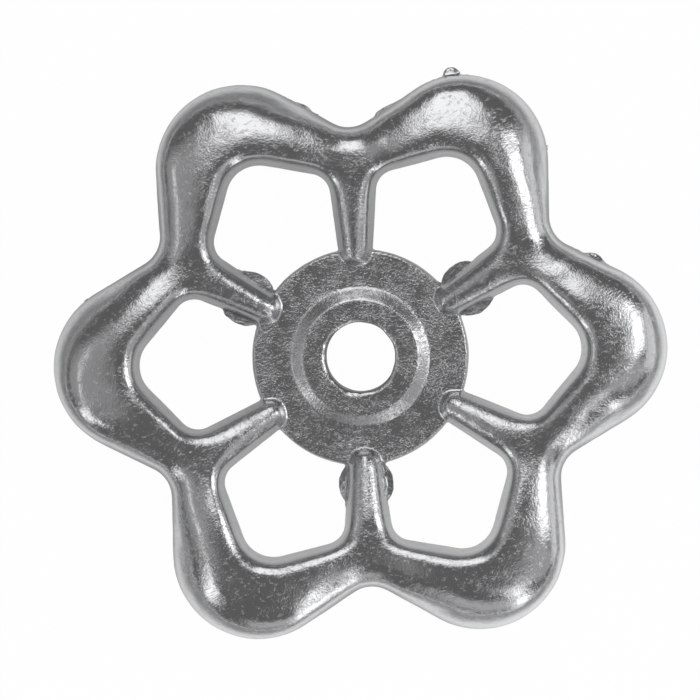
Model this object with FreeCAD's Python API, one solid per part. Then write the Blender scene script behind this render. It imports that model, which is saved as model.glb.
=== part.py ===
import FreeCAD, Part
import math
import os

# Six-lobed handwheel for a valve, pressure die-cast in one piece of aluminium.
# Millimetres, +Z up. The axis of the bore is Z, and z = 0 is the back face of the hub.
# A lobe points along +X. The spokes run between the lobes, to the valleys of the rim.
# The two halves of the die meet in the parting plane, and every wall leans away from it.

# How often the wheel repeats round its axis.
LOBES = 6

# Level of the parting plane, then the heights over it and the depths under it.
PARTING_LEVEL = 7.5
CREST_HEIGHT = 5.5
SPOKE_TIP_HEIGHT = 3.4
FLANGE_HEIGHT = 1.7
FLANGE_BACK_DEPTH = 1.9
RIM_BACK_DEPTH = 4.5

# Outline of the rim in the parting plane. A straight flank joins each lobe to the valleys.
LOBE_REACH = 35.0
LOBE_ARC = 9.75
FLANK_TURN = 61.4
VALLEY_ARC = 3.6
RIM_DRAFT = 2.0

# Section of the rim: how far inside the lobes' tips its crest lies, how far short of the axis
# the arc of its crown is centred, and the rounds of its outer edges. The front round grows
# along the flank of a lobe, by this share of the way at most.
CREST_INSET = 9.0
CROWN_SHORTFALL = 2.0
LOBE_ROUND = 5.0
VALLEY_ROUND = 2.6
BACK_ROUND = 3.0
ROUND_GROWTH = 0.4
WALL_LEFT = 0.05

# Openings between the spokes, in the parting plane. They leave this width of rim in the lobes.
RIM_WIDTH = 9.8
APEX_ARC = 3.7
CORNER_ARC = 2.4
SHOULDER_ANGLE = 42.0
WINDOW_DRAFT = 8.0
FRONT_EDGE_ROUND = 0.7
BACK_EDGE_ROUND = 0.5

# Spokes, which widen towards the rim and end in a rounded tip some way in from the flange's edge.
SPOKE_RUN_ON = 2.05
SPOKE_HALF_WIDTH = 2.0
SPOKE_WIDTH_PLACE = 12.5
SPOKE_FLARE = 5.8

# Hub: a flange that the spokes run onto, a boss on its front and a longer one on its back.
FLANGE_RADIUS = 12.35
FLANGE_DRAFT = 5.0
BOSS_BASE_RADIUS = 7.9
BOSS_TOP_RADIUS = 6.6
BOSS_HEIGHT = 1.3
HUB_RADIUS = 9.0
HUB_DRAFT = 3.0
HUB_EDGE_ROUND = 0.6
BORE_RADIUS = 4.0
BORE_CHAMFER = 0.3

# Round pads behind every second spoke, where the ejector pins pushed the casting out.
PAD_RADIUS = 3.1
PAD_PLACE = 14.5
PAD_BACK_LEVEL = 2.7
PAD_DRAFT = 2.0
SPOKES_PER_PAD = 2

# Stubs of metal that the trimming left on the parting line, each given by its lobe, by its
# place along the outline from the lobe's middle, by its width and by how far it stands proud.
STUB_THICKNESS = 1.0
STUBS = (
    (0, 13.5, 2.6, 0.5),
    (1, 5.9, 2.0, 0.9),
    (1, 14.7, 2.8, 0.3),
    (2, -13.2, 2.2, 0.3),
)

HALF_TURN = 180.0
FULL_TURN = 360.0
PITCH = FULL_TURN / LOBES
HALF_PITCH = PITCH / 2.0
CREST_LEVEL = PARTING_LEVEL + CREST_HEIGHT
SPOKE_TIP_LEVEL = PARTING_LEVEL + SPOKE_TIP_HEIGHT
FLANGE_LEVEL = PARTING_LEVEL + FLANGE_HEIGHT
FLANGE_BACK_LEVEL = PARTING_LEVEL - FLANGE_BACK_DEPTH
RIM_BACK_LEVEL = PARTING_LEVEL - RIM_BACK_DEPTH
CREST_REACH = LOBE_REACH - CREST_INSET
CROWN_ARC = CREST_REACH - CROWN_SHORTFALL
WINDOW_REACH = LOBE_REACH - RIM_WIDTH
SPOKE_TIP_REACH = FLANGE_RADIUS - SPOKE_RUN_ON
ORIGIN = FreeCAD.Vector(0, 0, 0)
AXIS = FreeCAD.Vector(0, 0, 1)

# How far a cutter runs past the face that it cuts, and how close counts as touching.
OVERRUN = 0.5
TOUCHING = 0.001


def polar(radius, angle, z=0.0):
    turn = math.radians(angle)
    return FreeCAD.Vector(radius * math.cos(turn), radius * math.sin(turn), z)


def turned(point, angle):
    return FreeCAD.Rotation(AXIS, angle).multVec(point)


def lean(height, angle):
    """How far a drafted wall leans over a height."""
    return abs(height) * math.tan(math.radians(angle))


def line(start, end):
    return Part.LineSegment(start, end).toShape()


def arc(centre, radius, start, end):
    """Arc about an upright axis from one angle to another, in degrees."""
    points = [centre + polar(radius, angle) for angle in (start, (start + end) / 2.0, end)]
    return Part.Arc(*points).toShape()


def crossing(normal_a, distance_a, normal_b, distance_b):
    """Point where two lines cross, each given by its normal and its distance from the axis."""
    size = normal_a.x * normal_b.y - normal_a.y * normal_b.x
    x = (distance_a * normal_b.y - distance_b * normal_a.y) / size
    y = (normal_a.x * distance_b - normal_b.x * distance_a) / size
    return FreeCAD.Vector(x, y, 0)


def valley_place():
    """Distance from the axis to the centre of a valley's arc, which touches the flanks beside it."""
    flank_distance = (LOBE_REACH - LOBE_ARC) * math.cos(math.radians(FLANK_TURN)) + LOBE_ARC
    return (flank_distance + VALLEY_ARC) / math.cos(math.radians(FLANK_TURN - HALF_PITCH))


def flank_length():
    """Length of the straight flank between a lobe's arc and a valley's."""
    lobe_along = (LOBE_REACH - LOBE_ARC) * math.sin(math.radians(FLANK_TURN))
    return lobe_along - valley_place() * math.sin(math.radians(FLANK_TURN - HALF_PITCH))


def rim_outline(z, inset):
    """Closed outline of the rim, moved in by the inset: lobe and valley arcs with tangent lines."""
    lobe = polar(LOBE_REACH - LOBE_ARC, 0.0, z)
    valley = polar(valley_place(), HALF_PITCH, z)
    lobe_arc = LOBE_ARC - inset
    valley_arc = VALLEY_ARC + inset
    edges = []
    for step in range(LOBES):
        turn = step * PITCH
        lobe_here = turned(lobe, turn)
        lobe_next = turned(lobe, turn + PITCH)
        valley_here = turned(valley, turn)
        down = turn + FLANK_TURN
        up = turn + PITCH - FLANK_TURN
        edges.append(arc(lobe_here, lobe_arc, turn - FLANK_TURN, down))
        edges.append(line(lobe_here + polar(lobe_arc, down), valley_here - polar(valley_arc, down)))
        edges.append(arc(valley_here, valley_arc, down + HALF_TURN, up + HALF_TURN))
        edges.append(line(valley_here - polar(valley_arc, up), lobe_next + polar(lobe_arc, up)))
    return Part.Wire(edges)


def opening_outline(z, growth):
    """Closed outline of the space inside the rim, round the windows and round the spoke tips."""
    flare = math.radians(SPOKE_FLARE)
    flank = HALF_PITCH - SPOKE_FLARE + 90.0
    shoulder = SHOULDER_ANGLE
    axis_width = SPOKE_HALF_WIDTH - math.tan(flare) * SPOKE_WIDTH_PLACE
    tip_place = (SPOKE_TIP_REACH + axis_width * math.cos(flare)) / (1.0 - math.sin(flare))
    tip_arc = tip_place - SPOKE_TIP_REACH
    tip = polar(tip_place, HALF_PITCH, z)
    apex = polar(WINDOW_REACH - APEX_ARC, 0.0, z)
    shoulder_distance = apex.dot(polar(1.0, shoulder)) + APEX_ARC
    flank_distance = tip.dot(polar(1.0, flank)) - tip_arc
    corner = crossing(polar(1.0, shoulder), shoulder_distance - CORNER_ARC,
                      polar(1.0, flank), flank_distance - CORNER_ARC)
    upper = FreeCAD.Vector(corner.x, corner.y, z)
    lower = FreeCAD.Vector(corner.x, -corner.y, z)
    apex_arc = APEX_ARC + growth
    corner_arc = CORNER_ARC + growth
    tip_arc = tip_arc - growth
    before = turned(tip, -PITCH)
    window = [
        line(before - polar(tip_arc, -flank), lower + polar(corner_arc, -flank)),
        arc(lower, corner_arc, -flank, -shoulder),
        line(lower + polar(corner_arc, -shoulder), apex + polar(apex_arc, -shoulder)),
        arc(apex, apex_arc, -shoulder, shoulder),
        line(apex + polar(apex_arc, shoulder), upper + polar(corner_arc, shoulder)),
        arc(upper, corner_arc, shoulder, flank),
        line(upper + polar(corner_arc, flank), tip - polar(tip_arc, flank)),
        arc(tip, tip_arc, flank + HALF_TURN, PITCH - flank + HALF_TURN),
    ]
    edges = []
    for step in range(LOBES):
        for edge in window:
            edges.append(edge.rotated(ORIGIN, AXIS, step * PITCH))
    return Part.Wire(edges)


def drafted(outline, level, draft):
    """Solid from the parting plane to a level, its outline moved by the draft on the way."""
    near = outline(PARTING_LEVEL, 0.0)
    far = outline(level, lean(level - PARTING_LEVEL, draft))
    return Part.makeLoft([near, far], True, True)


def revolved(edges):
    """Solid turned about the axis from its half section, which lies along +X."""
    return Part.Face(Part.Wire(edges)).revolve(ORIGIN, AXIS, FULL_TURN)


def polygon(corners):
    """Straight edges round a half section given by its (radius, level) corners."""
    points = [FreeCAD.Vector(radius, 0, level) for radius, level in corners]
    return [line(points[i - 1], points[i]) for i in range(len(points))]


def front_envelope():
    """Everything under the front: a cone up the spokes, which runs into the crown of the rim."""
    centre = FreeCAD.Vector(CREST_REACH, 0, CREST_LEVEL - CROWN_ARC)
    foot = FreeCAD.Vector(SPOKE_TIP_REACH, 0, SPOKE_TIP_LEVEL)
    away = foot - centre
    turn = math.atan2(away.z, away.x) - math.acos(CROWN_ARC / away.Length)
    edge_run = LOBE_REACH + OVERRUN - CREST_REACH
    edge_turn = math.acos(edge_run / CROWN_ARC)
    crown = []
    for angle in (turn, (turn + edge_turn) / 2.0, edge_turn):
        crown.append(centre + FreeCAD.Vector(CROWN_ARC * math.cos(angle), 0, CROWN_ARC * math.sin(angle)))
    meet = crown[0]
    grade = (meet.z - foot.z) / (meet.x - foot.x)
    middle = FreeCAD.Vector(0, 0, foot.z - grade * foot.x)
    base = FreeCAD.Vector(0, 0, PARTING_LEVEL)
    base_edge = FreeCAD.Vector(crown[2].x, 0, PARTING_LEVEL)
    return revolved([line(base, middle), line(middle, meet), Part.Arc(*crown).toShape(),
                     line(crown[2], base_edge), line(base_edge, base)])


def meets_parting(shape):
    return any(abs(vertex.Z - PARTING_LEVEL) < TOUCHING for vertex in shape.Vertexes)


def crest_edges(half):
    """Numbers of the edges where the outer wall of a half meets its front or back surface."""
    found = []
    for number, edge in enumerate(half.Edges, start=1):
        faces = half.ancestorsOfType(edge, Part.Face)
        walls = [face for face in faces if meets_parting(face)]
        if len(faces) == 2 and len(walls) == 1 and not meets_parting(edge):
            found.append(number)
    return found


def largest_round(reach):
    """Radius of the largest ball under the crown that leaves some wall over the parting plane."""
    run = reach - CREST_REACH
    drop = WALL_LEFT - CREST_HEIGHT + CROWN_ARC
    return (CROWN_ARC ** 2 - run ** 2 - drop ** 2) / (2.0 * (CROWN_ARC - run))


def rounded_crest(half, lobe_round, valley_round):
    """A half with its crest rounded, more on the lobes than in the valleys."""
    arc_end = polar(LOBE_REACH - LOBE_ARC, 0.0) + polar(LOBE_ARC, FLANK_TURN)
    arc_start = polar(valley_place(), HALF_PITCH) - polar(VALLEY_ARC, FLANK_TURN)
    divide = (arc_end.Length + arc_start.Length) / 2.0
    radii = []
    for number in crest_edges(half):
        corners = half.Edges[number - 1].Vertexes
        reaches = (math.hypot(corners[0].X, corners[0].Y), math.hypot(corners[-1].X, corners[-1].Y))
        ends = [lobe_round if reach > divide else valley_round for reach in reaches]
        radii.append((number, ends[0], ends[1]))
    document = FreeCAD.newDocument("rim")
    blank = document.addObject("Part::Feature", "blank")
    blank.Shape = half
    fillet = document.addObject("Part::Fillet", "crest")
    fillet.Base = blank
    fillet.Edges = radii
    document.recompute()
    rounded = fillet.Shape.Solids[0].copy()
    FreeCAD.closeDocument(document.Name)
    return rounded


def rounded_windows(half, opening, radius):
    """A half with its edges round the opening rounded."""
    edges = []
    for edge in half.Edges:
        if edge.Length < TOUCHING or meets_parting(edge):
            continue
        middle = edge.valueAt((edge.FirstParameter + edge.LastParameter) / 2.0)
        if opening.distToShape(Part.Vertex(middle))[0] < TOUCHING:
            edges.append(edge)
    return half.makeFillet(radius, edges)


def front_half():
    """Front half of the rim and spokes, crowned, and rounded as far as its walls allow."""
    over = CREST_LEVEL + OVERRUN
    half = drafted(rim_outline, over, RIM_DRAFT).common(front_envelope())
    valley_round = min(VALLEY_ROUND, largest_round(valley_place() - VALLEY_ARC))
    grown_round = valley_round + ROUND_GROWTH * flank_length()
    lobe_round = min(LOBE_ROUND, largest_round(LOBE_REACH), grown_round)
    half = rounded_crest(half, lobe_round, valley_round)
    opening = drafted(opening_outline, over, WINDOW_DRAFT)
    return rounded_windows(half.cut(opening), opening, FRONT_EDGE_ROUND)


def back_half():
    """Back half of the rim and spokes, with one flat back."""
    half = drafted(rim_outline, RIM_BACK_LEVEL, RIM_DRAFT)
    back_round = min(BACK_ROUND, RIM_BACK_DEPTH - WALL_LEFT)
    half = rounded_crest(half, back_round, back_round)
    opening = drafted(opening_outline, RIM_BACK_LEVEL, WINDOW_DRAFT)
    return rounded_windows(half.cut(opening), opening, BACK_EDGE_ROUND)


def hub():
    """Flange, front boss and back boss, turned about the axis, with the bore left to be cut."""
    front_lean = lean(FLANGE_LEVEL - PARTING_LEVEL, FLANGE_DRAFT)
    back_lean = lean(PARTING_LEVEL - FLANGE_BACK_LEVEL, FLANGE_DRAFT)
    foot = HUB_RADIUS - lean(FLANGE_BACK_LEVEL, HUB_DRAFT)
    return revolved(polygon([
        (0, 0),
        (foot - HUB_EDGE_ROUND, 0),
        (foot, HUB_EDGE_ROUND),
        (HUB_RADIUS, FLANGE_BACK_LEVEL),
        (FLANGE_RADIUS - back_lean, FLANGE_BACK_LEVEL),
        (FLANGE_RADIUS, PARTING_LEVEL),
        (FLANGE_RADIUS - front_lean, FLANGE_LEVEL),
        (BOSS_BASE_RADIUS, FLANGE_LEVEL),
        (BOSS_TOP_RADIUS, FLANGE_LEVEL + BOSS_HEIGHT),
        (0, FLANGE_LEVEL + BOSS_HEIGHT),
    ]))


def bore():
    """The bore with a small chamfer at each mouth."""
    top = FLANGE_LEVEL + BOSS_HEIGHT
    mouth = BORE_RADIUS + BORE_CHAMFER + OVERRUN
    return revolved(polygon([
        (0, -OVERRUN),
        (mouth, -OVERRUN),
        (BORE_RADIUS, BORE_CHAMFER),
        (BORE_RADIUS, top - BORE_CHAMFER),
        (mouth, top + OVERRUN),
        (0, top + OVERRUN),
    ]))


def ejector_pads():
    """Flat round pads behind every second spoke, up to the parting plane."""
    height = PARTING_LEVEL - PAD_BACK_LEVEL
    small = PAD_RADIUS - lean(height, PAD_DRAFT)
    pads = []
    for step in range(0, LOBES, SPOKES_PER_PAD):
        place = polar(PAD_PLACE, HALF_PITCH + step * PITCH, PAD_BACK_LEVEL)
        pads.append(Part.makeCone(small, PAD_RADIUS, height, place))
    return pads


def wall_place(lobe, place):
    """Point and outward bearing on the rim's wall, at a distance along it from a lobe's middle."""
    side = math.copysign(1.0, place)
    along = abs(place) - LOBE_ARC * math.radians(FLANK_TURN)
    bearing = FLANK_TURN if along > 0 else math.degrees(abs(place) / LOBE_ARC)
    turn = lobe * PITCH + side * bearing
    point = polar(LOBE_REACH - LOBE_ARC, lobe * PITCH) + polar(LOBE_ARC, turn)
    return point + polar(max(along, 0.0), turn + side * 90.0), turn


def trim_stubs():
    """Low crescents of metal that stand out from the rim on the parting line."""
    stubs = []
    for lobe, place, width, proud in STUBS:
        point, turn = wall_place(lobe, place)
        radius = (width ** 2 / 4.0 + proud ** 2) / (2.0 * proud)
        centre = point - polar(radius - proud, turn)
        base = FreeCAD.Vector(0, 0, PARTING_LEVEL - STUB_THICKNESS / 2.0)
        disc = Part.makeCylinder(radius, STUB_THICKNESS, centre + base)
        near = Part.makeCylinder(width, STUB_THICKNESS, point + base)
        stubs.append(disc.common(near))
    return stubs


def handwheel():
    wheel = front_half().fuse([back_half(), hub()] + ejector_pads() + trim_stubs())
    return wheel.cut(bore()).removeSplitter()


if __name__ == "__main__":
    os.makedirs("parts", exist_ok=True)
    wheel = handwheel()
    print("solids", len(wheel.Solids), "valid", wheel.isValid(), "volume", round(wheel.Volume, 1))
    wheel.Solids[0].exportStep("parts/valve_handle.step")
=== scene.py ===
import math

import bpy
import numpy
from mathutils import Matrix, Vector, noise


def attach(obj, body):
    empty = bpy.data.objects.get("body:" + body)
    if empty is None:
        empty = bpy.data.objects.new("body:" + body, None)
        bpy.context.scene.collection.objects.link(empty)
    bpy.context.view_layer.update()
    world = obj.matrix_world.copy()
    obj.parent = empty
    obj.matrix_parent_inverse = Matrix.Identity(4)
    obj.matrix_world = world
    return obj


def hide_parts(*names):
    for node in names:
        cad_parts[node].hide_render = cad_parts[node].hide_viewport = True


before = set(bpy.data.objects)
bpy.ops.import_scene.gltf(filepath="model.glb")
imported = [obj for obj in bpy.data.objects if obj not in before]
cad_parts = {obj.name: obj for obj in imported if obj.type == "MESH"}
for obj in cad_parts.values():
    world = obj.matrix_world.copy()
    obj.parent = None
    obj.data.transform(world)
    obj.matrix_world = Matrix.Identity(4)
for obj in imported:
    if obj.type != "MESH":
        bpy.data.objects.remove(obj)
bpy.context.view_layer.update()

# Six-lobed valve handwheel, one pressure die-casting in bare aluminium, lying on its hub.
# Metres. The axis of the bore is Z, a lobe points along +X, and the front faces +Z.

MM = 0.001
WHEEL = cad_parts["valve_handle"]

# Levels, radii and bearings of the casting that the finish follows.
PARTING_LEVEL = 7.5 * MM
FLANGE_LEVEL = 9.2 * MM
SEAT_HEIGHT = 0.5 * MM
BORE_RADIUS = 4.0 * MM
BOSS_TOP_RADIUS = 6.6 * MM
BOSS_BASE_RADIUS = 7.9 * MM
HUB_RADIUS = 9.0 * MM
FLANGE_RADIUS = 12.35 * MM
PAD_RADIUS = 3.1 * MM
PAD_PLACE = 14.5 * MM
PAD_BEARINGS = [math.radians(angle) for angle in (30.0, 150.0, 270.0)]
SPOKE_BEARINGS = [math.radians(angle) for angle in range(30, 360, 60)]
SPOKE_HALF_WIDTH = 2.9 * MM
SPOKE_END = 22.0 * MM
WINDOW_BEARINGS = [math.radians(angle) for angle in range(0, 360, 60)]
WINDOW_MIDDLE = 19.0 * MM
WINDOW_REACH = 25.7 * MM

# The skin of the casting: the size of its facets, how many rounds of smoothing each part of it
# gets, and how many facets it keeps in the end.
SKIN_FACET = 0.20 * MM
MERGE_DISTANCE = 0.001 * MM
SMOOTHING_SHARE = 0.5
SKIN_SMOOTHING = 14
SPOKE_SMOOTHING = 60
BORDER_SMOOTHING = 200
HUB_SMOOTHING = 2
SKIN_FACES = 190000
WEIGHT_STEPS = 64

# Where the skin is smoothed: clear of the flange's edge, the boss and the parting plane. The
# crest of a spoke takes all of it from a little above its foot. The border of a window is the
# rounded edge whose upward facing lies between two values, and some facets on either side.
EDGE_MARGIN = 0.4 * MM
NOSE_REACH = BOSS_TOP_RADIUS + 2.0 * MM
PARTING_BAND = 0.7 * MM
SPOKE_FOOT = 0.25 * MM
BORDER_SPREAD = 14
BORDER_FACING = (0.35, 0.85)
BORDER_INNER_REACH = FLANGE_RADIUS + 0.5 * MM
BORDER_OUTER_REACH = WINDOW_REACH + 1.0 * MM
BORDER_FOOT = PARTING_LEVEL + 1.5 * MM

# The photograph's light suggests a gentler cone on the boss than the solid has, so the boss is
# lowered to this share of its height.
BOSS_FLATTENING = 0.58
BOSS_MARGIN = 0.3 * MM

# The photograph's light also suggests that in the valleys between the lobes the rim's arms fall
# more toward their outline than the solid's do: how far they fall, how far inside the outline
# the fall begins, how many degrees it reaches to each side of a valley, how full it stays next
# to it, and between which heights over the parting plane it sets in. Half a lobe is 30 degrees.
ARM_FALL = 1.15 * MM
ARM_CREST_INSET = 8.5 * MM
ARM_SPAN = 30.0
ARM_FULLNESS = 1.25
HALF_LOBE = 30.0
WALL_GIVE = (0.5 * MM, 3.5 * MM)

# Unevenness of the skin, as the size of its lumps and their height from hollow to top. The
# pads and stubs are broken faces, and the mouth of the bore is a little broken too.
BREAKS = (1.2 * MM, 0.35 * MM)
WAVES = (4.0 * MM, 0.09 * MM)
RIPPLES = (1.2 * MM, 0.03 * MM)
PAD_MARGIN = 0.2 * MM
MOUTH_REACH = BORE_RADIUS + 0.5 * MM
MOUTH_BREAKS = 0.4

# The thin fin of metal that the die left where its halves meet. It comes and goes along the rim
# in long waves and short ripples, keeps a least share of its reach between them, and is fuller
# in the windows.
FIN_THICKNESS = 0.06 * MM
FIN_REACH = 0.16 * MM
FIN_LEAST = 0.05
FIN_CUTS = 3
FIN_STEP = 4.0 * MM
FIN_WAVE = 2.0
FIN_RIPPLE = 0.3
FIN_RIPPLE_STEP = 0.2 * FIN_STEP
WINDOW_LEDGE = 1.0

# Grain of the bare metal: its size and relief, how strong it is on the hub and on the lobes,
# and the size and strength of the patches in which it comes and goes.
ALUMINIUM = "#D2D3D4"
GRAIN_SIZE = 0.24 * MM
GRAIN_RELIEF = 0.045 * MM
GRAIN_AMOUNT = (1.25, 0.7)
LOBE_GRAIN_REACH = 31.0 * MM
PATCH_SIZE = 2.5 * MM
PATCH_AMOUNT = (0.4, 1.0)

# Its gloss, which is cloudy, and duller on the cone of the boss. Most of a soft noise lies
# within this span.
GLOSS_SIZE = 0.9 * MM
ROUGHNESS = (0.12, 0.17)
CONE_ROUGHNESS = 0.24
NOISE_SPAN = (0.35, 0.65)

# Its small nicks. They lie mostly one way, in spots, and are fainter outside the flange. Their
# spacing and width are steps of the noise that draws them.
NICK_BEARING = math.radians(-20.0)
NICK_DRAW = (0.85, 1.15, 1.0)
NICK_SIZE = 0.45 * MM
NICK_SPACING = 0.06
NICK_WIDTH = 0.03
NICK_HEIGHT = 0.3
NICK_SPOT_SIZE = 0.5 * MM
NICK_SPOTS = (0.58, 0.63)
NICK_AMOUNT = (1.5, 0.4)
NICK_FADE = 3.0 * MM

# The photograph: its side in pixels, how many of them a lobe's 35 mm from axis to tip take up,
# where the axis lies in it, and how far the wheel is turned in it. The camera stands over the
# wheel and leans a little off its axis. The sensor's width is in millimetres.
PHOTO_SIDE = 700
LOBE_PIXELS = 307.07
PIXEL = 35.0 / LOBE_PIXELS * MM
AXIS_PIXEL = (360.5, 357.0)
PHOTO_TURN = math.radians(2.62)
CAMERA_DISTANCE = 1.2
CAMERA_LEAN = (math.radians(0.9), math.radians(0.8))
SENSOR_WIDTH = 36.0

# Where the photograph shows the rough stubs that trimming left on the rim.
STUB_PIXELS = ((450, 73), (594, 257), (302, 104), (384, 110))
STUB_SPREAD = 2.2 * MM

# The paper under the wheel: its side and how far it lies below the wheel, its colour, and the
# share of even white that the camera sees of it.
FLOOR_SIDE = 4.0
FLOOR_DROP = 0.00002
PAPER = "#F2F2F2"
WHITE = "#FFFFFF"
PAPER_SEEN = 0.985

# Painted light and shade on the paper, which only the metal's reflections show. It sets how bright
# the paper glows at each distance from the wheel's axis: a painted shadow under the wheel, a ring
# of painted light just outside it, dim farther off. The painted light is brighter toward one
# bearing, and the lean multiplies it away from that side and toward it.
PAINTED_LIGHT_STEPS = ((0.0, 0.18), (12.0 * MM, 0.22), (15.0 * MM, 0.42), (24.0 * MM, 0.50), (28.0 * MM, 0.32),
        (35.5 * MM, 0.52), (38.0 * MM, 0.66), (41.0 * MM, 0.84), (47.0 * MM, 0.82),
        (58.0 * MM, 0.45), (75.0 * MM, 0.30), (110.0 * MM, 0.25), (200.0 * MM, 0.20))
PAINTED_LIGHT_REACH = 200.0 * MM
PAINTED_LIGHT_SIDE = math.radians(315.0)
PAINTED_LIGHT_LEAN = (0.85, 1.25)

# The lamps' distance from the wheel, and the dim surroundings that the metal sees.
LAMP_DISTANCE = 0.7
SURROUNDINGS = 0.145


def on_wheel(pixel):
    """Place on the wheel, at the parting plane, of a pixel of the photograph."""
    across = Vector(((pixel[0] - AXIS_PIXEL[0]) * PIXEL, (AXIS_PIXEL[1] - pixel[1]) * PIXEL, 0.0))
    return Matrix.Rotation(-PHOTO_TURN, 3, "Z") @ across


def only(piece):
    """Selects a piece and nothing else."""
    bpy.ops.object.select_all(action="DESELECT")
    piece.select_set(True)
    bpy.context.view_layer.objects.active = piece


def shaped(piece, kind, **settings):
    """Applies one modifier to a piece."""
    only(piece)
    modifier = piece.modifiers.new(kind.lower(), kind)
    for name, value in settings.items():
        setattr(modifier, name, value)
    bpy.ops.object.modifier_apply(modifier=modifier.name)


def corners(piece):
    """Places of a piece's vertices, one row each."""
    places = numpy.empty(len(piece.data.vertices) * 3)
    piece.data.vertices.foreach_get("co", places)
    return places.reshape(-1, 3)


def marked(piece, name, chosen):
    """Vertex group of the chosen vertices, weighted from 0 to 1 in fine steps."""
    group = piece.vertex_groups.new(name=name)
    steps = numpy.rint(WEIGHT_STEPS * chosen)
    for step in range(1, WEIGHT_STEPS + 1):
        group.add(numpy.flatnonzero(steps == step).tolist(), step / WEIGHT_STEPS, "REPLACE")
    return group.name


def clouds(name, size):
    """Soft lumps of a given size, for the unevenness of cast skin."""
    lumps = bpy.data.textures.new(name, "CLOUDS")
    lumps.noise_scale = size
    lumps.noise_depth = 1
    return lumps


def rumpled(piece, name, lumps, group):
    """Pushes a group of vertices in and out by soft lumps of a given size and height."""
    size, height = lumps
    shaped(piece, "DISPLACE", texture=clouds(name, size), texture_coords="LOCAL",
           strength=height, mid_level=0.5, vertex_group=group)


def smoothed(piece, name, chosen, rounds):
    """Smooths the chosen vertices for a number of rounds."""
    shaped(piece, "SMOOTH", factor=SMOOTHING_SHARE, iterations=rounds,
           vertex_group=marked(piece, name, chosen))


def solid_copy(name):
    """The solid's surface as a piece of its own, with its loose triangles merged."""
    piece = bpy.data.objects.new(name, WHEEL.data.copy())
    bpy.context.scene.collection.objects.link(piece)
    only(piece)
    bpy.ops.object.mode_set(mode="EDIT")
    bpy.ops.mesh.select_all(action="SELECT")
    bpy.ops.mesh.remove_doubles(threshold=MERGE_DISTANCE)
    bpy.ops.object.mode_set(mode="OBJECT")
    return piece


def near(places, spots, spread):
    """Which places lie within a spread of any of the spots, seen from the front."""
    found = numpy.zeros(len(places), bool)
    for spot in spots:
        found |= numpy.hypot(places[:, 0] - spot[0], places[:, 1] - spot[1]) < spread
    return found


def flatten_boss(piece):
    """Lowers the boss round the bore to the gentler cone that the photograph suggests."""
    places = corners(piece)
    reach = numpy.hypot(places[:, 0], places[:, 1])
    boss = (reach < BOSS_BASE_RADIUS + BOSS_MARGIN) & (places[:, 2] > FLANGE_LEVEL)
    name = marked(piece, "boss", boss)
    only(piece)
    bpy.ops.object.mode_set(mode="EDIT")
    bpy.ops.mesh.select_all(action="DESELECT")
    bpy.ops.object.vertex_group_set_active(group=name)
    bpy.ops.object.vertex_group_select()
    bpy.ops.transform.resize(value=(1.0, 1.0, BOSS_FLATTENING),
                             center_override=(0.0, 0.0, FLANGE_LEVEL))
    bpy.ops.object.mode_set(mode="OBJECT")


def arms_fall(piece):
    """Weights by which the rim falls to its outline: 1 at the edge of a valley, 0 on a lobe."""
    places = corners(piece)
    reach = numpy.hypot(places[:, 0], places[:, 1])
    bearing = numpy.degrees(numpy.arctan2(places[:, 1], places[:, 0])) % 360.0
    outline = numpy.zeros(360)
    numpy.maximum.at(outline, numpy.minimum(bearing.astype(int), 359), reach)
    edge = numpy.interp(bearing, numpy.arange(360) + 0.5, outline, period=360.0)
    across = numpy.clip((reach - edge) / ARM_CREST_INSET + 1.0, 0.0, 1.0)
    off_valley = abs(bearing % (2.0 * HALF_LOBE) - HALF_LOBE)
    along = numpy.clip(ARM_FULLNESS * (1.0 - off_valley / ARM_SPAN), 0.0, 1.0)
    height = places[:, 2] - PARTING_LEVEL
    upper = numpy.clip((height - WALL_GIVE[0]) / (WALL_GIVE[1] - WALL_GIVE[0]), 0.0, 1.0)
    return across * along ** 2 * (3.0 - 2.0 * along) * upper


def window_borders(piece):
    """Weights of the upper edges round the windows: 1 at the edge, fading over some facets."""
    places = corners(piece)
    facing = numpy.empty(len(places) * 3)
    piece.data.vertices.foreach_get("normal", facing)
    facing = facing.reshape(-1, 3)
    reach = numpy.hypot(places[:, 0], places[:, 1])
    middles = WINDOW_MIDDLE * numpy.array([(math.cos(b), math.sin(b)) for b in WINDOW_BEARINGS])
    toward = middles[None, :, :] - places[:, None, :2]
    nearest = numpy.hypot(toward[:, :, 0], toward[:, :, 1]).argmin(axis=1)
    inward = (toward[numpy.arange(len(places)), nearest] * facing[:, :2]).sum(axis=1) > 0.0
    edges = inward & (facing[:, 2] > BORDER_FACING[0]) & (facing[:, 2] < BORDER_FACING[1])
    edges &= (reach > BORDER_INNER_REACH) & (reach < BORDER_OUTER_REACH)
    edges &= places[:, 2] > BORDER_FOOT
    pairs = numpy.empty(len(piece.data.edges) * 2, int)
    piece.data.edges.foreach_get("vertices", pairs)
    first, second = pairs.reshape(-1, 2).T
    weights = edges.astype(float)
    for _ in range(BORDER_SPREAD - 1):
        touched = edges[first] | edges[second]
        edges[first[touched]] = True
        edges[second[touched]] = True
        weights += edges
    return weights / BORDER_SPREAD


def spoke_crests(places):
    """How far each place belongs to the crest of a spoke: 0 at its foot, 1 a little above."""
    found = numpy.zeros(len(places), bool)
    for bearing in SPOKE_BEARINGS:
        along = places[:, 0] * math.cos(bearing) + places[:, 1] * math.sin(bearing)
        across = places[:, 1] * math.cos(bearing) - places[:, 0] * math.sin(bearing)
        found |= (along > 0.0) & (along < SPOKE_END) & (abs(across) < SPOKE_HALF_WIDTH)
    return found * numpy.clip((places[:, 2] - FLANGE_LEVEL) / SPOKE_FOOT, 0.0, 1.0)


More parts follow.
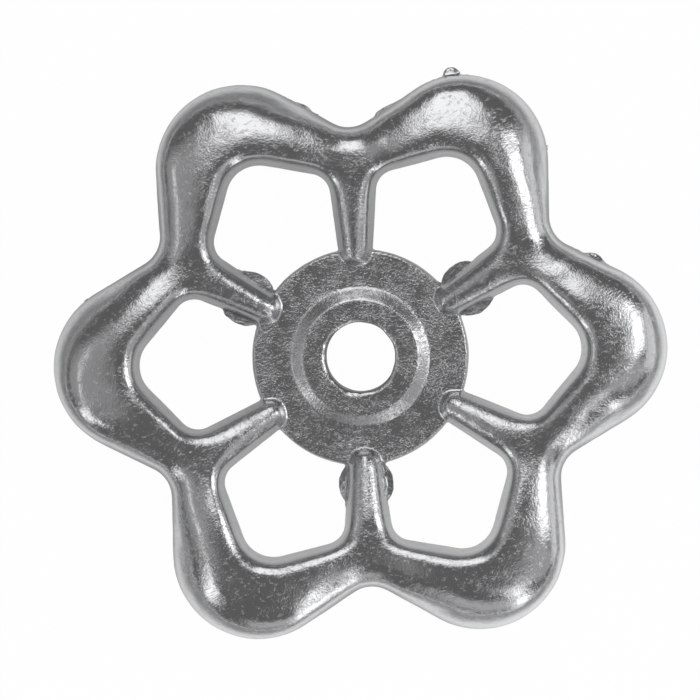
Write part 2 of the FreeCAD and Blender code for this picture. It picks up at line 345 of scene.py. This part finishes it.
def casting():
    """The wheel's cast skin: the solid's surface in even facets, with the lower boss and the
    falling arms that the photograph suggests, smoothed and then made slightly uneven."""
    piece = solid_copy("casting")
    shaped(piece, "REMESH", mode="VOXEL", voxel_size=SKIN_FACET)
    shaped(piece, "SHRINKWRAP", target=WHEEL, wrap_method="NEAREST_SURFACEPOINT")
    flatten_boss(piece)
    shaped(piece, "DISPLACE", direction="Z", strength=-ARM_FALL, mid_level=0.0,
           vertex_group=marked(piece, "arms", arms_fall(piece)))
    places = corners(piece)
    height = places[:, 2]
    reach = numpy.hypot(places[:, 0], places[:, 1])
    pad_spots = [(PAD_PLACE * math.cos(b), PAD_PLACE * math.sin(b)) for b in PAD_BEARINGS]
    pads = near(places, pad_spots, PAD_RADIUS + EDGE_MARGIN) & (height < PARTING_LEVEL + PAD_MARGIN)
    stubs = near(places, [on_wheel(pixel) for pixel in STUB_PIXELS], STUB_SPREAD)
    parting = abs(height - PARTING_LEVEL) < PARTING_BAND
    past_boss = reach > NOSE_REACH
    skin = reach > FLANGE_RADIUS + EDGE_MARGIN
    skin |= (height > FLANGE_LEVEL + EDGE_MARGIN) & past_boss
    mouth = (reach < MOUTH_REACH) & (height > FLANGE_LEVEL)
    broken = numpy.maximum(pads | (stubs & parting), MOUTH_BREAKS * mouth)
    smoothed(piece, "skin", skin & ~pads & ~parting, SKIN_SMOOTHING)
    smoothed(piece, "crests", spoke_crests(places) * past_boss, SPOKE_SMOOTHING)
    smoothed(piece, "borders", window_borders(piece), BORDER_SMOOTHING)
    shaped(piece, "SMOOTH", factor=SMOOTHING_SHARE, iterations=HUB_SMOOTHING)
    rumpled(piece, "breaks", BREAKS, marked(piece, "broken", broken))
    uneven = marked(piece, "uneven", height > SEAT_HEIGHT)
    rumpled(piece, "waves", WAVES, uneven)
    rumpled(piece, "ripples", RIPPLES, uneven)
    shaped(piece, "DECIMATE", ratio=SKIN_FACES / (2.0 * len(piece.data.polygons)))
    piece.vertex_groups.clear()
    only(piece)
    bpy.ops.object.shade_smooth()
    return piece


def fin():
    """A thin uneven fin of flash, round the rim and the windows at the parting plane."""
    piece = solid_copy("parting_fin")
    only(piece)
    bpy.ops.object.mode_set(mode="EDIT")
    for side, level in ((-1.0, PARTING_LEVEL - FIN_THICKNESS), (1.0, PARTING_LEVEL)):
        bpy.ops.mesh.select_all(action="SELECT")
        bpy.ops.mesh.bisect(plane_co=(0.0, 0.0, level), plane_no=(0.0, 0.0, 1.0),
                            clear_outer=side > 0.0, clear_inner=side < 0.0)
    bpy.ops.mesh.select_all(action="SELECT")
    bpy.ops.mesh.subdivide(number_cuts=FIN_CUTS)
    bpy.ops.object.mode_set(mode="OBJECT")
    places = corners(piece)
    group = piece.vertex_groups.new(name="reach")
    for index, place in enumerate(places):
        flat = Vector((place[0], place[1], 0.0))
        weight = FIN_WAVE * noise.noise(flat / FIN_STEP)
        weight += FIN_RIPPLE * noise.noise(flat / FIN_RIPPLE_STEP)
        ledge = WINDOW_LEDGE if flat.length < WINDOW_REACH else 0.0
        group.add([index], max(0.0, min(1.0, ledge + weight)), "REPLACE")
    reach = numpy.hypot(places[:, 0], places[:, 1])
    inner = piece.vertex_groups.new(name="inner")
    inner.add(numpy.flatnonzero(reach < HUB_RADIUS).tolist(), 1.0, "REPLACE")
    only(piece)
    bpy.ops.object.mode_set(mode="EDIT")
    bpy.ops.mesh.select_all(action="DESELECT")
    bpy.ops.object.vertex_group_set_active(group="inner")
    bpy.ops.object.vertex_group_select()
    bpy.ops.mesh.delete(type="VERT")
    bpy.ops.object.mode_set(mode="OBJECT")
    shaped(piece, "SOLIDIFY", thickness=FIN_REACH, offset=1.0, vertex_group="reach",
           thickness_vertex_group=FIN_LEAST)
    piece.vertex_groups.clear()
    return piece


def linear(colour):
    """An sRGB hex colour as the linear values that a shader takes."""
    parts = [int(colour[start:start + 2], 16) / 255.0 for start in (1, 3, 5)]
    lit = [v / 12.92 if v <= 0.04045 else ((v + 0.055) / 1.055) ** 2.4 for v in parts]
    return tuple(lit) + (1.0,)


def node(material, kind, settings=None, links=None):
    """Adds a shader node, with its settings by name and its links by socket."""
    made = material.node_tree.nodes.new(kind)
    for name, value in (settings or {}).items():
        if isinstance(name, str) and hasattr(made, name):
            setattr(made, name, value)
        else:
            made.inputs[name].default_value = value
    for name, source in (links or {}).items():
        material.node_tree.links.new(source, made.inputs[name])
    return made


def blank(name):
    """A new material with an empty node tree."""
    material = bpy.data.materials.new(name)
    material.use_nodes = True
    material.node_tree.nodes.clear()
    return material


def nicks(skin, place, reach):
    """Height of sparse curly nicks: thin level lines of a soft noise, kept in scattered spots,
    which fade outside the flange."""
    drawn = node(skin, "ShaderNodeMapping",
                 {"Rotation": (0.0, 0.0, NICK_BEARING), "Scale": NICK_DRAW}, {"Vector": place})
    swirl = node(skin, "ShaderNodeTexNoise",
                 {"Scale": 1.0 / NICK_SIZE, "Detail": 1.0, "Distortion": 0.8},
                 {"Vector": drawn.outputs["Vector"]})
    lines = node(skin, "ShaderNodeMath", {"operation": "PINGPONG", 1: NICK_SPACING},
                 {0: swirl.outputs["Fac"]})
    ridge = node(skin, "ShaderNodeMapRange",
                 {"interpolation_type": "SMOOTHSTEP", "From Max": NICK_WIDTH,
                  "To Min": NICK_HEIGHT, "To Max": 0.0}, {"Value": lines.outputs["Value"]})
    spots = node(skin, "ShaderNodeTexNoise", {"Scale": 1.0 / NICK_SPOT_SIZE, "Detail": 1.0},
                 {"Vector": drawn.outputs["Vector"]})
    kept = node(skin, "ShaderNodeMapRange", {"From Min": NICK_SPOTS[0], "From Max": NICK_SPOTS[1]},
                {"Value": spots.outputs["Fac"]})
    sparse = node(skin, "ShaderNodeMath", {"operation": "MULTIPLY"},
                  {0: ridge.outputs["Result"], 1: kept.outputs["Result"]})
    amount = node(skin, "ShaderNodeMapRange",
                  {"From Min": FLANGE_RADIUS, "From Max": FLANGE_RADIUS + NICK_FADE,
                   "To Min": NICK_AMOUNT[0], "To Max": NICK_AMOUNT[1]}, {"Value": reach})
    fading = node(skin, "ShaderNodeMath", {"operation": "MULTIPLY"},
                  {0: sparse.outputs["Value"], 1: amount.outputs["Result"]})
    return fading.outputs["Value"]


def die_cast_aluminium():
    """Bare die-cast aluminium as it left the die: light grey, with fairly sharp reflections that
    a fine grain breaks up, a cloudy gloss, and small curly nicks, plainest on the hub."""
    skin = blank("die-cast aluminium, as cast")
    place = node(skin, "ShaderNodeTexCoord").outputs["Object"]
    flat = node(skin, "ShaderNodeVectorMath", {"operation": "MULTIPLY", 1: (1.0, 1.0, 0.0)},
                {0: place})
    reach = node(skin, "ShaderNodeVectorMath", {"operation": "LENGTH"}, {0: flat.outputs["Vector"]})
    rim = node(skin, "ShaderNodeMapRange",
               {"From Min": FLANGE_RADIUS, "From Max": LOBE_GRAIN_REACH,
                "To Min": GRAIN_AMOUNT[0], "To Max": GRAIN_AMOUNT[1]},
               {"Value": reach.outputs["Value"]})
    patch = node(skin, "ShaderNodeTexNoise", {"Scale": 1.0 / PATCH_SIZE, "Detail": 2.0},
                 {"Vector": place})
    patchy = node(skin, "ShaderNodeMapRange",
                  {"From Min": NOISE_SPAN[0], "From Max": NOISE_SPAN[1],
                   "To Min": PATCH_AMOUNT[0], "To Max": PATCH_AMOUNT[1]},
                  {"Value": patch.outputs["Fac"]})
    amount = node(skin, "ShaderNodeMath", {"operation": "MULTIPLY"},
                  {0: rim.outputs["Result"], 1: patchy.outputs["Result"]})
    grain = node(skin, "ShaderNodeTexNoise",
                 {"Scale": 1.0 / GRAIN_SIZE, "Detail": 2.0, "Roughness": 0.6, "Distortion": 0.6},
                 {"Vector": place})
    height = node(skin, "ShaderNodeMath", {"operation": "MULTIPLY"},
                  {0: grain.outputs["Fac"], 1: amount.outputs["Value"]})
    nicked = node(skin, "ShaderNodeMath", {"operation": "ADD"},
                  {0: height.outputs["Value"], 1: nicks(skin, place, reach.outputs["Value"])})
    relief = node(skin, "ShaderNodeBump", {"Strength": 1.0, "Distance": GRAIN_RELIEF},
                  {"Height": nicked.outputs["Value"]})
    cloudy = node(skin, "ShaderNodeTexNoise", {"Scale": 1.0 / GLOSS_SIZE, "Detail": 2.0},
                  {"Vector": place})
    gloss = node(skin, "ShaderNodeMapRange",
                 {"From Min": NOISE_SPAN[0], "From Max": NOISE_SPAN[1],
                  "To Min": ROUGHNESS[0], "To Max": ROUGHNESS[1]}, {"Value": cloudy.outputs["Fac"]})
    cone = node(skin, "ShaderNodeMath",
                {"operation": "COMPARE", 1: (BOSS_TOP_RADIUS + BOSS_BASE_RADIUS) / 2.0,
                 2: (BOSS_BASE_RADIUS - BOSS_TOP_RADIUS) / 2.0}, {0: reach.outputs["Value"]})
    satin = node(skin, "ShaderNodeMapRange", {"To Max": CONE_ROUGHNESS},
                 {"Value": cone.outputs["Value"], "To Min": gloss.outputs["Result"]})
    metal = node(skin, "ShaderNodeBsdfPrincipled",
                 {"Base Color": linear(ALUMINIUM), "Metallic": 1.0},
                 {"Roughness": satin.outputs["Result"], "Normal": relief.outputs["Normal"]})
    node(skin, "ShaderNodeOutputMaterial", links={"Surface": metal.outputs["BSDF"]})
    return skin


def pale_floor():
    """Matt white paper: almost even white to the camera. In the metal's reflections it glows with
    painted light and shade: a painted shadow under the wheel, painted light brightest just outside
    it, and dim farther off."""
    paper = blank("matt white paper")
    rays = node(paper, "ShaderNodeLightPath").outputs
    place = node(paper, "ShaderNodeTexCoord").outputs["Object"]
    # The glow that the metal reflects is painted shade and light, stepped by distance from the
    # axis: a painted shadow under the wheel and painted light just outside it.
    reach = node(paper, "ShaderNodeVectorMath", {"operation": "LENGTH"}, {0: place})
    share = node(paper, "ShaderNodeMapRange", {"From Max": PAINTED_LIGHT_REACH},
                 {"Value": reach.outputs["Value"]})
    painted_light_ramp = node(paper, "ShaderNodeValToRGB", links={"Fac": share.outputs["Result"]})
    ramp = painted_light_ramp.color_ramp.elements
    for (spot, level), stop in zip(PAINTED_LIGHT_STEPS, [ramp[0], ramp[1]] + [ramp.new(0.5) for _ in PAINTED_LIGHT_STEPS[2:]]):
        stop.position = spot / PAINTED_LIGHT_REACH
        stop.color = (level, level, level, 1.0)
    # Painted light: the glow is made brighter toward one bearing.
    way = node(paper, "ShaderNodeVectorMath", {"operation": "NORMALIZE"}, {0: place})
    side = (math.cos(PAINTED_LIGHT_SIDE), math.sin(PAINTED_LIGHT_SIDE), 0.0)
    toward = node(paper, "ShaderNodeVectorMath", {"operation": "DOT_PRODUCT", 1: side},
                  {0: way.outputs["Vector"]})
    lean = node(paper, "ShaderNodeMapRange",
                {"From Min": -1.0, "To Min": PAINTED_LIGHT_LEAN[0], "To Max": PAINTED_LIGHT_LEAN[1]},
                {"Value": toward.outputs["Value"]})
    leaning = node(paper, "ShaderNodeVectorMath", {"operation": "SCALE"},
                   {0: painted_light_ramp.outputs["Color"], "Scale": lean.outputs["Result"]})
    # Glossy rays see the painted light and shade; other rays see even white.
    level = node(paper, "ShaderNodeMix", {"data_type": "RGBA", 6: linear(WHITE)},
                 {0: rays["Is Glossy Ray"], 7: leaning.outputs["Vector"]})
    matt = node(paper, "ShaderNodeBsdfDiffuse", {"Color": linear(PAPER)})
    even = node(paper, "ShaderNodeEmission", {"Strength": 1.0}, {"Color": level.outputs[2]})
    seen = node(paper, "ShaderNodeMapRange", {"To Max": PAPER_SEEN},
                {"Value": rays["Is Camera Ray"]})
    shown = node(paper, "ShaderNodeMath", {"operation": "MAXIMUM"},
                 {0: seen.outputs[0], 1: rays["Is Glossy Ray"]})
    both = node(paper, "ShaderNodeMixShader", links={"Fac": shown.outputs[0]})
    paper.node_tree.links.new(matt.outputs[0], both.inputs[1])
    paper.node_tree.links.new(even.outputs[0], both.inputs[2])
    node(paper, "ShaderNodeOutputMaterial", links={"Surface": both.outputs[0]})
    return paper


def floor():
    """The sheet of paper that the wheel lies on."""
    bpy.ops.object.select_all(action="DESELECT")
    bpy.ops.mesh.primitive_plane_add(size=FLOOR_SIDE, location=(0.0, 0.0, -FLOOR_DROP))
    sheet = bpy.context.object
    sheet.name = "floor"
    bpy.ops.object.transform_apply(location=True, rotation=True, scale=True)
    sheet.data.materials.append(pale_floor())


def softbox(name, bearing, tilt, width, height, brightness):
    """Area light aimed at the wheel, by its bearing in the picture and its tilt from upright."""
    turn = math.radians(bearing) - PHOTO_TURN
    lean = math.radians(tilt)
    away = Vector((math.sin(lean) * math.cos(turn), math.sin(lean) * math.sin(turn),
                   math.cos(lean)))
    lamp = bpy.data.lights.new(name, "AREA")
    lamp.shape = "RECTANGLE"
    lamp.size = width
    lamp.size_y = height
    lamp.energy = brightness * math.pi * width * height
    held = bpy.data.objects.new(name, lamp)
    bpy.context.scene.collection.objects.link(held)
    held.location = away * LAMP_DISTANCE
    held.rotation_euler = away.to_track_quat("Z", "Y").to_euler()
    return held


def studio():
    """Soft boxes at the top and the right of the picture, narrow strips at the left and from
    below, weak boxes between them, and surroundings that only the camera sees white."""
    # Bearing and tilt are in degrees, width and height in metres.
    softbox("top box", 94.0, 36.0, 0.34, 0.60, 1.25)
    softbox("right box", 12.0, 44.0, 0.28, 0.42, 2.2)
    softbox("low right box", 2.0, 80.0, 0.55, 0.34, 0.7)
    softbox("lower right strip", 300.0, 57.0, 0.10, 0.75, 1.75)
    softbox("right weak box", 332.0, 47.0, 0.30, 0.66, 0.3)
    softbox("lower left strip", 215.0, 60.0, 0.14, 0.42, 1.6)
    softbox("left strip", 180.0, 43.0, 0.30, 0.08, 0.9)
    softbox("low lower right box", 300.0, 85.0, 0.26, 0.30, 0.9)
    softbox("left weak box", 178.0, 45.0, 0.50, 0.80, 0.22)
    softbox("bottom weak box", 272.0, 70.0, 0.45, 0.30, 0.4)
    world = bpy.data.worlds.new("studio")
    bpy.context.scene.world = world
    world.use_nodes = True
    world.node_tree.nodes.clear()
    dim = node(world, "ShaderNodeBackground", {"Color": linear(WHITE), "Strength": SURROUNDINGS})
    white = node(world, "ShaderNodeBackground", {"Color": linear(WHITE), "Strength": 1.0})
    seen = node(world, "ShaderNodeLightPath").outputs["Is Camera Ray"]
    both = node(world, "ShaderNodeMixShader", links={"Fac": seen})
    world.node_tree.links.new(dim.outputs[0], both.inputs[1])
    world.node_tree.links.new(white.outputs[0], both.inputs[2])
    node(world, "ShaderNodeOutputWorld", links={"Surface": both.outputs[0]})


def camera():
    """Camera over the wheel, as in the photograph."""
    middle = PHOTO_SIDE / 2.0
    off = Vector(((middle - AXIS_PIXEL[0]) * PIXEL, (AXIS_PIXEL[1] - middle) * PIXEL, 0.0))
    unturn = Matrix.Rotation(-PHOTO_TURN, 3, "Z")
    aim = unturn @ off + Vector((0.0, 0.0, PARTING_LEVEL))
    back = unturn @ Vector((math.tan(CAMERA_LEAN[0]), math.tan(CAMERA_LEAN[1]), 1.0)).normalized()
    right = (unturn @ Vector((0.0, 1.0, 0.0))).cross(back).normalized()
    up = back.cross(right)
    lens = bpy.data.cameras.new("camera")
    lens.sensor_width = SENSOR_WIDTH
    lens.lens = SENSOR_WIDTH * CAMERA_DISTANCE / (PHOTO_SIDE * PIXEL)
    held = bpy.data.objects.new("camera", lens)
    bpy.context.scene.collection.objects.link(held)
    held.location = aim + back * CAMERA_DISTANCE
    held.rotation_euler = Matrix((right, up, back)).transposed().to_euler()
    bpy.context.scene.camera = held


aluminium = die_cast_aluminium()
wheel = casting()
flash = fin()
for part in (wheel, flash):
    part.data.materials.clear()
    part.data.materials.append(aluminium)
    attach(part, "root")
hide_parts("valve_handle")
floor()
studio()
camera()
bpy.context.scene.view_settings.view_transform = "Standard"
